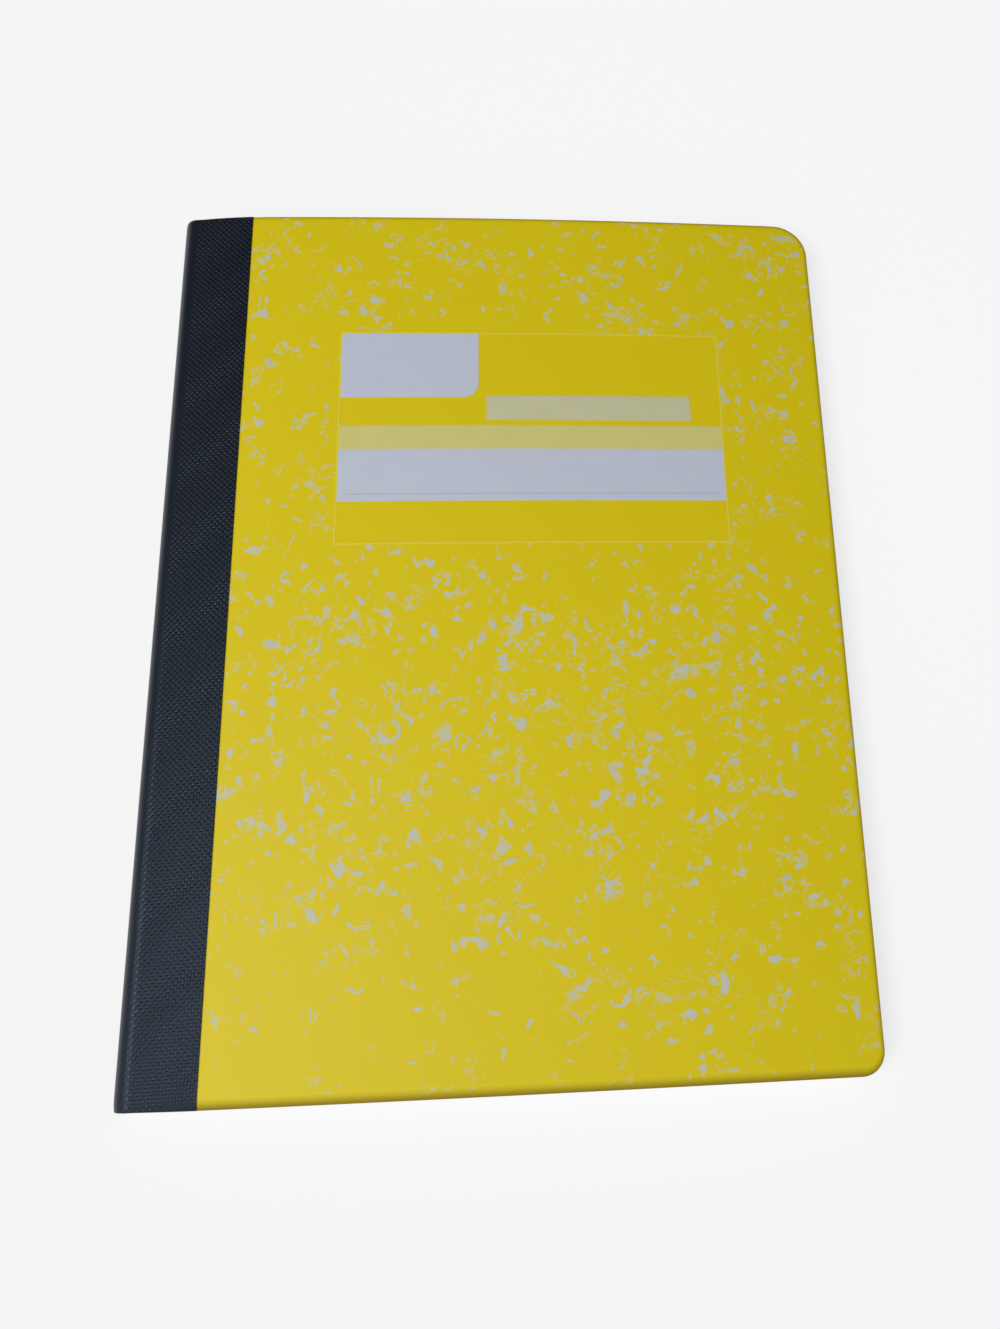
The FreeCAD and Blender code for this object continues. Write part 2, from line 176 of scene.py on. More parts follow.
class Bench:
    """The node sheet of one material, or of the sky."""

    BLEND_FACTOR, BLEND_FIRST, BLEND_SECOND, BLEND_RESULT = 0, 6, 7, 2

    def __init__(self, owner: Material | bpy.types.World) -> None:
        """Clears the owner's node sheet.

        Args:
            owner: What the sheet belongs to.
        """
        owner.use_nodes = True
        self.owner = owner
        self.tree = owner.node_tree
        self.tree.nodes.clear()

    @classmethod
    def material(cls, name: str) -> "Bench":
        """Node sheet of a new material with this name."""
        return cls(bpy.data.materials.new(name))

    def node(self, kind: str, settings: dict[str, Any], inputs: dict[str | int, Any]) -> bpy.types.Node:
        """Adds one node.

        Args:
            kind: The node's type.
            settings: Its own settings, which are set first.
            inputs: For each socket, by name or number, a reading or socket to link, or a value.

        Returns:
            The node.
        """
        made = self.tree.nodes.new(kind)
        for setting, value in settings.items():
            setattr(made, setting, value)
        for place, value in inputs.items():
            socket = made.inputs[place]
            if isinstance(value, Reading):
                value = value.socket
            if isinstance(value, Socket):
                self.tree.links.new(value, socket)
            elif isinstance(value, tuple) and socket.type == "RGBA":
                socket.default_value = (*value, 1.0)
            else:
                socket.default_value = value
        return made

    def value(self, kind: str, settings: dict[str, Any], inputs: dict[str | int, Any]) -> Reading:
        """Adds a node and reads its first output, which is a number."""
        return Reading(self, self.node(kind, settings, inputs).outputs[0])

    def place(self, layout: Layout) -> Socket:
        """Coordinates in metres of what the pattern is laid out on."""
        return self.node("ShaderNodeTexCoord", {}, {}).outputs[layout.value]

    def attribute(self, name: str) -> Reading:
        """Number that a piece carries at its vertices, by the name it is kept under."""
        return Reading(self, self.node("ShaderNodeAttribute", {"attribute_name": name}, {}).outputs["Fac"])

    def flat_place(self) -> Socket:
        """Place seen from above, in millimetres, the same at every height."""
        return self.scaled(self.place(Layout.PLACE), (1 / MM, 1 / MM, 0.0))

    def scaled(self, vector: Socket, factors: tuple[float, float, float]) -> Socket:
        """Vector with each of its parts multiplied by its own factor."""
        return self.node("ShaderNodeVectorMath", {"operation": "MULTIPLY"}, {0: vector, 1: factors}).outputs[0]

    def axes(self, vector: Socket) -> tuple[Reading, Reading, Reading]:
        """Three parts of a vector."""
        outputs = self.node("ShaderNodeSeparateXYZ", {}, {0: vector}).outputs
        return Reading(self, outputs[0]), Reading(self, outputs[1]), Reading(self, outputs[2])

    def cloud(
        self, vector: Any, per_unit: float, detail: float = 2.0, rough: float = 0.5, stir: float = 0.0
    ) -> Reading:
        """Smooth random values about one half.

        Args:
            vector: Where to read them.
            per_unit: How many lumps there are to a unit of length.
            detail: How many finer layers are added.
            rough: How strong the finer layers are.
            stir: How much the lumps are stirred.

        Returns:
            The values.
        """
        inputs = {"Vector": vector, "Scale": per_unit, "Detail": detail, "Roughness": rough, "Distortion": stir}
        return self.value("ShaderNodeTexNoise", {}, inputs)

    def swirl(self, vector: Any, per_unit: float, detail: float, amount: float) -> Socket:
        """Vector stirred by a random field.

        Args:
            vector: The vector.
            per_unit: How many eddies there are to a unit of length.
            detail: How many finer layers are added.
            amount: How far a point may move.

        Returns:
            The stirred vector.
        """
        inputs = {"Vector": vector, "Scale": per_unit, "Detail": detail}
        push = self.node("ShaderNodeTexNoise", {}, inputs).outputs["Color"]
        inputs = {0: push, 1: (amount,) * 3, 2: vector}
        return self.node("ShaderNodeVectorMath", {"operation": "MULTIPLY_ADD"}, inputs).outputs[0]

    def blend(self, share: Any, first: Any, second: Any) -> Socket:
        """Mixes two colours.

        Args:
            share: How much of the second shows.
            first: A colour or socket.
            second: A colour or socket.

        Returns:
            The mixed colour.
        """
        inputs = {self.BLEND_FACTOR: share, self.BLEND_FIRST: first, self.BLEND_SECOND: second}
        mix = self.node("ShaderNodeMix", {"data_type": "RGBA", "clamp_factor": True}, inputs)
        return mix.outputs[self.BLEND_RESULT]

    def relief(self, height: Reading, depth: float) -> Socket:
        """Normal of a bumpy surface, whose height is zero to one and stands for that depth in metres."""
        inputs = {"Height": height, "Distance": depth, "Strength": 1.0}
        return self.node("ShaderNodeBump", {}, inputs).outputs[0]

    def finish(self, inputs: dict[str | int, Any]) -> Material:
        """Closes the material with its shader.

        Args:
            inputs: Values or links of the shader's sockets.

        Returns:
            The finished material.
        """
        shader = self.node("ShaderNodeBsdfPrincipled", {}, inputs)
        self.node("ShaderNodeOutputMaterial", {}, {"Surface": shader.outputs[0]})
        return self.owner


@dataclass(frozen=True)
class Panel:
    """Upright rectangle seen from above."""

    left: float
    right: float
    tail: float
    head: float

    @classmethod
    def around(cls, node: str) -> "Panel":
        """Rectangle that a node of the frame fills, seen from above."""
        low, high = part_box(node)
        return cls(low.x, high.x, low.y, high.y)


@dataclass(frozen=True)
class MarbledPrint:
    """Yellow varnished print with pale marbling: solid blots, hollow ones, fine threads and specks.

    Places are millimetres and scales are lumps to a millimetre. A pair says where a rise starts and ends.
    """

    name: str
    bare: Panel | None = None
    yellow: Colour = (0.570, 0.450, 0.004)
    # Painted shade: dark olive laid over the yellow on the rolled rim, where the rim faces away from the light.
    rim_shade: Colour = (0.20, 0.140, 0.004)
    pale: Colour = (0.45, 0.46, 0.37)
    fade: Colour = (0.595, 0.475, 0.006)
    fade_scale: float = 0.012
    stir_scale: float = 0.28
    stir_reach: float = 3.5
    wiggle_scale: float = 0.75
    wiggle_reach: float = 2.6
    crowd_scale: float = 0.025
    crowded_y: float = -35.0
    crowded_rise: Rise = (20.0, 55.0)
    crowded_gain: float = 0.30
    sparse_y: Rise = (-113.0, -83.0)
    sparse_x: Rise = (-35.0, 15.0)
    sparse_loss: float = 0.45
    blot_scale: float = 0.24
    blot_stir: float = 0.4
    blot_edge: float = 0.712
    blot_crowd: float = 0.10
    blot_blur: float = 0.008
    patch_scale: float = 0.12
    thinnest_wall: float = 0.04
    wall_gain: float = 0.3
    wall_rise: Rise = (0.42, 0.56)
    torn_scale: float = 0.9
    torn_rise: Rise = (0.36, 0.40)
    swell_scale: float = 0.30
    swell_rise: Rise = (0.50, 0.72)
    thread_scale: float = 0.21
    thread_stir: float = 0.6
    thread_width: float = 0.009
    thread_swell: float = 0.045
    thread_blur: float = 0.012
    zone_scale: float = 0.085
    zone_near: float = 0.10
    zone_crowd: float = 0.06
    zone_rise: Rise = (0.582, 0.597)
    gap_rise: Rise = (0.42, 0.45)
    speck_scale: float = 0.5
    speck_rise: Rise = (0.09, 0.14)
    speck_zone: Rise = (0.52, 0.55)
    faintest: float = 0.45
    rim_rise: Rise = (0.25, 0.55)
    rim_shade_rise: Rise = (0.08, 0.98)
    mark_height: float = 0.15

    def marks(self, bench: Bench, place: Socket) -> Reading:
        """Where the pale marks are.

        Args:
            bench: The material's node sheet.
            place: Flat place in millimetres.

        Returns:
            One on a mark, zero between marks.
        """
        stirred = bench.swirl(place, self.stir_scale, 2.0, self.stir_reach)
        wiggled = bench.swirl(place, self.wiggle_scale, 2.0, self.wiggle_reach)
        x, y, _ = bench.axes(place)
        band = 1.0 - abs(y - self.crowded_y).rise(*self.crowded_rise)
        foot = (1.0 - y.rise(*self.sparse_y)) * (1.0 - x.rise(*self.sparse_x))
        crowd = bench.cloud(place, self.crowd_scale, 1.0) + self.crowded_gain * band - self.sparse_loss * foot
        edge = self.blot_edge - self.blot_crowd * crowd
        swell = bench.cloud(wiggled, self.swell_scale).rise(*self.swell_rise)
        lumps = bench.cloud(stirred, self.blot_scale, stir=self.blot_stir)
        patches = bench.cloud(place, self.patch_scale, 1.0)
        wall = self.thinnest_wall + self.wall_gain * patches.rise(*self.wall_rise)
        hollow = lumps.rise(edge + wall, edge + wall + self.blot_blur)
        blots = lumps.rise(edge, edge + self.blot_blur) * (1.0 - hollow)
        torn = bench.cloud(stirred, self.torn_scale, rough=0.6).rise(*self.torn_rise)
        fine = bench.cloud(wiggled, self.thread_scale, 1.0, stir=self.thread_stir)
        width = self.thread_width + self.thread_swell * swell
        thread = 1.0 - abs(fine - 0.5).rise(width, width + self.thread_blur)
        zone = bench.cloud(wiggled, self.zone_scale, rough=0.6) + self.zone_near * bench.attribute("near_mark")
        tangle = (zone + self.zone_crowd * crowd).rise(*self.zone_rise)
        gaps = bench.cloud(place, self.stir_scale, 1.0).rise(*self.gap_rise)
        cells = bench.value("ShaderNodeTexVoronoi", {}, {"Vector": stirred, "Scale": self.speck_scale})
        specks = 1.0 - cells.rise(*self.speck_rise)
        loose = (thread * tangle * gaps).top(specks * patches.rise(*self.speck_zone))
        loose = loose * (self.faintest + (1.0 - self.faintest) * swell)
        found = (blots * torn).top(loose)
        found = found * (1.0 - bench.attribute("rolled").rise(*self.rim_rise))
        return found * self.outside(bench) if self.bare else found

    def outside(self, bench: Bench) -> Reading:
        """One outside the bare panel, zero on it."""
        x, y, _ = bench.axes(bench.place(Layout.PLACE))
        across = (x > self.bare.left) * (x < self.bare.right)
        return 1.0 - across * (y > self.bare.tail) * (y < self.bare.head)

    def material(self) -> Material:
        """Makes the finish."""
        bench = Bench.material(self.name)
        place = bench.flat_place()
        marks = self.marks(bench, place)
        ground = bench.blend(bench.cloud(place, self.fade_scale, 3.0), self.yellow, self.fade)
        # Painted shade: the rolled rim's tilt away from the light is painted in as dark olive, strongest at the
        # cut.
        ground = bench.blend(bench.attribute("rolled").rise(*self.rim_shade_rise), ground, self.rim_shade)
        colour = bench.blend(marks, ground, self.pale)
        grain = bench.cloud(place, GRAIN_PER_MM, 4.0, 0.6)
        return bench.finish({
            "Base Color": colour,
            "Roughness": 0.38 + 0.12 * grain + 0.10 * marks,
            "Specular IOR Level": 0.14,
            "Normal": bench.relief(grain + self.mark_height * marks, TOOTH_DEPTH),
        })


@dataclass(frozen=True)
class FieldPrint:
    """One flat colour of the label's print, a little uneven, under the same varnish."""

    name: str
    ink: Colour
    worn: Colour
    mottle_per_mm: float = 0.15
    mottle_rise: Rise = (0.3, 0.8)

    def material(self) -> Material:
        """Makes the finish."""
        bench = Bench.material(self.name)
        place = bench.flat_place()
        grain = bench.cloud(place, GRAIN_PER_MM, 4.0, 0.6)
        mottle = bench.cloud(place, self.mottle_per_mm, 4.0, 0.6)
        return bench.finish({
            "Base Color": bench.blend(mottle.rise(*self.mottle_rise), self.ink, self.worn),
            "Roughness": 0.42 + 0.14 * grain,
            "Specular IOR Level": 0.22,
            "Normal": bench.relief(grain, TOOTH_DEPTH),
        })


@dataclass(frozen=True)
class RawBoard:
    """Cut edge and inner face of grey board, layered and fibrous."""

    name: str = "raw_board"
    pulp: Colour = (0.36, 0.33, 0.27)
    fibre: Colour = (0.24, 0.21, 0.17)
    fibres_per_metre: tuple[float, float, float] = (400.0, 400.0, 9000.0)
    fibre_rise: Rise = (0.3, 0.7)
    depth: float = 0.04 * MM

    def material(self) -> Material:
        """Makes the finish."""
        bench = Bench.material(self.name)
        layered = bench.scaled(bench.place(Layout.PLACE), self.fibres_per_metre)
        fibres = bench.cloud(layered, 1.0, 4.0, 0.65)
        return bench.finish({
            "Base Color": bench.blend(fibres.rise(*self.fibre_rise), self.pulp, self.fibre),
            "Roughness": 0.9,
            "Specular IOR Level": 0.2,
            "Normal": bench.relief(fibres, self.depth),
        })


@dataclass(frozen=True)
class BindingCloth:
    """Dark navy binding cloth, pressed with fine dots in rows that run aslant, and smooth round the spine.

    Scales are lumps to a metre.
    """

    name: str = "binding_cloth"
    navy: Colour = (0.0012, 0.0018, 0.0030)
    worn: Colour = (0.0052, 0.0076, 0.0120)
    gleam: Colour = (0.60, 0.76, 1.0)
    row_pitch: float = 1.20 * MM
    cross_pitch: float = 1.12 * MM
    row_share: float = 0.8
    cross_share: float = 0.85
    fine_share: float = 0.5
    dot_rise: Rise = (-0.6, 1.6)
    dot_mean: float = 0.72
    dot_depth: float = 0.17 * MM
    wander: float = 0.6 * MM
    wander_scale: float = 700.0
    smooth_rise: Rise = (6.6 * MM, 8.8 * MM)
    smooth_share: float = 0.12
    fuzz_scale: float = 2600.0
    patch_scale: float = 45.0
    fuzz_tone: float = 0.25
    fuzz_height: float = 0.2
    patch_tone: float = 0.3
    tone_rise: Rise = (0.1, 1.0)

    def material(self) -> Material:
        """Makes the finish."""
        bench = Bench.material(self.name)
        cloth = bench.place(Layout.CLOTH)
        along, up, _ = bench.axes(cloth)
        aslant = math.tau / math.sqrt(2.0)
        wander = self.wander * (bench.cloud(cloth, self.wander_scale) - 0.5)
        rows = ((up - along + wander) * (aslant / self.row_pitch)).sine()
        across = ((up + along + wander) * (aslant / self.cross_pitch)).sine()
        fine_rows = (along * (2.0 * aslant / self.row_pitch)).sine()
        dots = self.row_share * rows + self.cross_share * across + self.fine_share * fine_rows
        dots = dots.rise(*self.dot_rise)
        pressed = abs(along).rise(*self.smooth_rise)
        share = self.smooth_share + (1.0 - self.smooth_share) * pressed
        dots = self.dot_mean + (dots - self.dot_mean) * share
        fuzz = bench.cloud(cloth, self.fuzz_scale, 3.0, 0.6)
        patches = bench.cloud(cloth, self.patch_scale, 3.0)
        tone = dots + self.fuzz_tone * (fuzz - 0.5) + self.patch_tone * (patches - 0.5)
        shade = bench.blend(tone.rise(*self.tone_rise), self.navy, self.worn)
        return bench.finish({
            # Painted shadow: the tape's edge on the board is painted dark navy, for the shadow its step casts.
            "Base Color": bench.blend(bench.attribute("selvedge"), shade, self.navy),
            "Roughness": 0.48 - 0.16 * dots + 0.1 * fuzz - 0.06 * (1.0 - pressed),
            "Specular IOR Level": 0.38,
            "Specular Tint": self.gleam,
            "Normal": bench.relief(1.0 - dots + self.fuzz_height * fuzz, self.dot_depth),
        })


@dataclass(frozen=True)
class PlainPaper:
    """Uncoated paper with a soft mottled formation."""

    name: str
    white: Colour = (0.84, 0.83, 0.78)
    shade: Colour = (0.79, 0.78, 0.73)
    formation_per_metre: float = 620.0
    formation_rise: Rise = (0.3, 0.8)

    def material(self) -> Material:
        """Makes the finish."""
        bench = Bench.material(self.name)
        place = bench.place(Layout.PLACE)
        formation = bench.cloud(place, self.formation_per_metre, 4.0, 0.6)
        tooth = bench.cloud(place, TOOTH_PER_METRE, 3.0, 0.6)
        return bench.finish({
            "Base Color": bench.blend(formation.rise(*self.formation_rise), self.white, self.shade),
            "Roughness": 0.82 + 0.1 * tooth,
            "Specular IOR Level": 0.25,
            "Normal": bench.relief(tooth, TOOTH_DEPTH),
        })


@dataclass(frozen=True)
class RuledPaper:
    """Writing paper with blue rules and one red margin line."""

    page: Panel
    name: str = "ruled_paper"
    white: Colour = (0.84, 0.83, 0.78)
    blue: Colour = (0.28, 0.42, 0.66)
    red: Colour = (0.72, 0.26, 0.28)
    pitch: float = 8.73 * MM
    line: float = 0.3 * MM
    top_space: float = 30.0 * MM
    margin: float = 31.75 * MM
    faintest: float = 0.75

    def material(self) -> Material:
        """Makes the finish."""
        bench = Bench.material(self.name)
        place = bench.place(Layout.PLACE)
        x, y, _ = bench.axes(place)
        down = (self.page.head - self.top_space) - y
        rules = ((down / self.pitch).part() < self.line / self.pitch) * (down > 0.0)
        margin = abs(x - (self.page.left + self.margin)) < self.line
        tooth = bench.cloud(place, TOOTH_PER_METRE, 3.0, 0.6)
        strength = self.faintest + (1.0 - self.faintest) * tooth
        colour = bench.blend(rules * strength, self.white, self.blue)
        colour = bench.blend(margin * strength, colour, self.red)
        return bench.finish({
            "Base Color": colour,
            "Roughness": 0.80 + 0.1 * tooth,
            "Specular IOR Level": 0.25,
            "Normal": bench.relief(tooth, TOOTH_DEPTH),
        })


@dataclass(frozen=True)
class CottonThread:
    """Twisted undyed cotton."""

    name: str = "cotton_thread"
    pale: Colour = (0.80, 0.78, 0.72)
    dark: Colour = (0.55, 0.53, 0.47)
    twist_pitch: float = 0.6 * MM
    twist_rise: Rise = (-0.8, 0.8)
    twist_depth: float = 0.05 * MM

    def material(self) -> Material:
        """Makes the finish."""
        bench = Bench.material(self.name)
        x, y, z = bench.axes(bench.place(Layout.PLACE))
        twist = ((x + y + z) * (math.tau / self.twist_pitch)).sine().rise(*self.twist_rise)
        return bench.finish({
            "Base Color": bench.blend(twist, self.dark, self.pale),
            "Roughness": 0.8,
            "Sheen Weight": 0.2,
            "Normal": bench.relief(twist, self.twist_depth),
        })


@dataclass(frozen=True)
class StudioFloor:
    """Matt pale floor, which glows so that shadows on it stay faint, and is painted darker towards the window to
    even out the window's stronger light.
    """

    name: str = "studio_floor"
    pale: Colour = (0.32, 0.32, 0.32)
    window_side_shade: Colour = (0.204, 0.204, 0.205)
    glow: float = 2.056
    slope: tuple[float, float] = (0.49, 0.35)
    slope_rise: Rise = (-0.225, 0.225)
    unevenness: float = 0.01
    patches_per_metre: float = 3.0

    def material(self) -> Material:
        """Makes the finish."""
        bench = Bench.material(self.name)
        place = bench.place(Layout.PLACE)
        x, y, _ = bench.axes(place)
        patches = self.unevenness * bench.cloud(place, self.patches_per_metre, 3.0)
        # Painted shade: the floor's colour darkens towards the window, where the lamp lights it most, so that it
        # looks evenly bright.
        window_shading = patches - self.slope[0] * x - self.slope[1] * y
        return bench.finish({
            "Base Color": bench.blend(window_shading.rise(*self.slope_rise), self.pale, self.window_side_shade),
            "Roughness": 0.9,
            "Specular IOR Level": 0.1,
            "Emission Color": self.pale,
            "Emission Strength": self.glow,
        })


@dataclass(frozen=True)
class Section:
    """Section of the closed notebook across its spine: arcs that meet smoothly."""

    spine_x: float
    crest: float
    tape_wall: float
    crest_from_spine: float = 88.0 * MM
    crown_radius: float = 2250.0 * MM
    bend_from_spine: float = 28.0 * MM
    bend_radius: float = 160.0 * MM

    @classmethod
    def from_frame(cls) -> "Section":
        """Section whose ends are read from the frame."""
        spine_low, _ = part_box("spine_tape")
        back_low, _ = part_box("back_cover_board")
        _, board_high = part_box("front_cover_board")
        return cls(spine_low.x, board_high.z, back_low.z)

    @cached_property
    def crown(self) -> Vector:
        """Centre of the long crown over the leaves."""
        return Vector((self.spine_x + self.crest_from_spine, 0.0, self.crest - self.crown_radius))

    @cached_property
    def bend(self) -> Vector:
        """Centre of the closer bend towards the spine."""
        across = self.spine_x + self.bend_from_spine - self.crown.x
        outward = Vector((across, 0.0, math.sqrt(self.crown_radius**2 - across**2)))
        return self.crown + outward * (1 - self.bend_radius / self.crown_radius)

    @cached_property
    def spine_round(self) -> float:
        """Radius of the tape's outer face round the spine, which touches the bend and the floor."""
        reach = self.bend_radius + self.tape_wall
        across = self.bend.x - self.spine_x
        half = reach - across - self.bend.z
        return -half + math.sqrt(half**2 - (across**2 + self.bend.z**2 - reach**2))

    @cached_property
    def spine(self) -> Vector:
        """Centre of the spine's round."""
        return Vector((self.spine_x + self.spine_round, 0.0, self.spine_round))

    @cached_property
    def shoulder(self) -> float:
        """Angle, about the spine's centre, at which its round meets the bend."""
        away = self.spine - self.bend
        return math.atan2(away.z, away.x)

    def front_height(self, x: float, depth: float) -> float:
        """Height of a layer of the front cover.

        Args:
            x: Place across the cover.
            depth: How far the layer lies below the board's outer face.

        Returns:
            The height.
        """
        centre, radius = self.bend, self.bend_radius
        if x > self.spine_x + self.bend_from_spine:
            centre, radius = self.crown, self.crown_radius
        return centre.z + math.sqrt((radius - depth) ** 2 - (x - centre.x) ** 2)

    def round_point(self, angle: float, radius: float) -> Vector:
        """Point at Y zero, by its angle about the spine's centre and its distance from it."""
        return self.spine + radius * Vector((math.cos(angle), 0.0, math.sin(angle)))


@dataclass(frozen=True)
class RolledRim:
    """How the trimming knife rolls the covers' outer faces down along the three cut sides."""

    cover: Panel
    head_round: float = 10.2 * MM
    tail_round: float = 6.2 * MM
    tail_width: float = 3.3 * MM
    tail_drop: float = 0.78 * MM
    side_width: float = 1.6 * MM
    side_drop: float = 0.35 * MM
    flare: float = 0.55

    def distances(self, x: float, y: float) -> tuple[float, float, bool]:
        """Distances to the fore-edge and to the nearer of tail and head, and whether that one is the tail."""
        tail, head = y - self.cover.tail, self.cover.head - y
        return self.cover.right - x, min(tail, head), tail < head

    def inward(self, x: float, y: float) -> float:
        """Distance from a place on a cover to the nearest cut side.

        Args:
            x: Place across the cover.
            y: Place up the cover.

        Returns:
            The distance, round the corners too.
        """
        fore, upright, at_tail = self.distances(x, y)
        corner = self.tail_round if at_tail else self.head_round
        if fore < corner and upright < corner:
            return corner - math.hypot(corner - fore, corner - upright)
        return min(fore, upright)

    def share(self, inward: float, width: float) -> float:
        """How much of the drop is reached so far in from the cut: one there, zero past the rolled band's width."""
        past = clamped(1.0 - inward / width)
        return self.flare * past**2 + (1.0 - self.flare) * (1.0 - math.sqrt(1.0 - past**2))

    def drop(self, x: float, y: float) -> float:
        """How far the outer face is rolled down at a place.

        Args:
            x: Place across the cover.
            y: Place up the cover.

        Returns:
            The drop in metres.
        """
        fore, upright, at_tail = self.distances(x, y)
        corner = self.tail_round if at_tail else self.head_round
        width, drop = (self.tail_width, self.tail_drop) if at_tail else (self.side_width, self.side_drop)
        if fore < corner and upright < corner:
            turned = math.atan2(corner - fore, corner - upright) / (math.pi / 2)
            width += (self.side_width - width) * turned
            drop += (self.side_drop - drop) * turned
            return drop * self.share(self.inward(x, y), width)
        return max(drop * self.share(upright, width), self.side_drop * self.share(fore, self.side_width))


def steps(first: float, last: float, count: int) -> list[float]:
    """Numbers from the first to the last, both among them, with so many even spaces between."""
    return [first + (last - first) * number / count for number in range(count + 1)]


def clamped(value: float) -> float:
    """The value, held between zero and one."""
    return min(1.0, max(0.0, value))


def finished_piece(
    name: str, form: Form, materials: Iterable[Material]
) -> Piece:
    """Turns a mesh in the making into a piece in the scene.

    Args:
        name: The piece's name.
        form: The mesh, whose faces already look outward, and which is freed.
        materials: Its materials, in the order of their numbers.

    Returns:
        The piece.
    """
    mesh = bpy.data.meshes.new(name)
    form.to_mesh(mesh)
    form.free()
    for material in materials:
        mesh.materials.append(material)
    mesh.shade_smooth()
    mesh.set_sharp_from_angle(angle=SHARP_ANGLE)
    piece = bpy.data.objects.new(name, mesh)
    bpy.context.scene.collection.objects.link(piece)
    log.info("%s: %d faces", name, len(mesh.polygons))
    return piece


def face_outward(form: Form) -> None:
    """Turns every face of a closed mesh outward, by its present shape."""
    form.normal_update()
    bmesh.ops.recalc_face_normals(form, faces=form.faces)


def thicken(form: Form, height: float) -> list[bmesh.types.BMFace]:
    """Draws flat faces up and closes the sides.

    Args:
        form: The flat faces.
        height: How far up they are drawn.

    Returns:
        The faces on top.
    """
    drawn = bmesh.ops.extrude_face_region(form, geom=form.faces[:])["geom"]
    verts = [part for part in drawn if isinstance(part, bmesh.types.BMVert)]
    bmesh.ops.translate(form, vec=(0.0, 0.0, height), verts=verts)
    return [part for part in drawn if isinstance(part, bmesh.types.BMFace)]


def ruled_grid(stations: Sequence[float], rows: Sequence[float]) -> Form:
    """Flat grid at height zero.

    Args:
        stations: X of its upright lines.
        rows: Y of its level lines.

    Returns:
        The grid.
    """
    form = bmesh.new()
    across, upward = len(stations) - 1, len(rows) - 1
    bmesh.ops.create_grid(form, x_segments=across, y_segments=upward, size=0.5)
    for vert in form.verts:
        vert.co.x = stations[round((vert.co.x + 0.5) * across)]
        vert.co.y = rows[round((vert.co.y + 0.5) * upward)]
    return form


def cut_sheet(panel: Panel, corners: Sequence[tuple[float, float, float]]) -> Form:
    """Flat sheet with rounded corners, lying at height zero.

    Args:
        panel: Its outline.
        corners: For each rounded corner, its X, its Y and its radius.

    Returns:
        The sheet, as one face.
    """
    form = bmesh.new()
    bmesh.ops.create_grid(form, x_segments=1, y_segments=1, size=0.5)
    size = Vector((panel.right - panel.left, panel.head - panel.tail, 1.0))
    middle = Vector((panel.left + panel.right, panel.tail + panel.head, 0.0)) / 2
    bmesh.ops.scale(form, vec=size, verts=form.verts)
    bmesh.ops.translate(form, vec=middle, verts=form.verts)
    for x, y, radius in corners:
        corner = min(form.verts, key=lambda vert: math.hypot(vert.co.x - x, vert.co.y - y))
        bmesh.ops.bevel(
            form, geom=[corner], offset=radius, offset_type="OFFSET", affect="VERTICES", segments=ROUND_STEPS,
            profile=0.5, material=-1, clamp_overlap=False,
        )
    return form


def slice_across(form: Form, axis: Vector, places: Iterable[float]) -> None:
    """Cuts a mesh at places along an axis.

    Args:
        form: The mesh.
        axis: Unit vector along the axis.
        places: Where to cut.
    """
    for place in places:
        geometry = [*form.verts, *form.edges, *form.faces]
        bmesh.ops.bisect_plane(form, geom=geometry, dist=CUT_TOLERANCE, plane_co=axis * place, plane_no=axis)


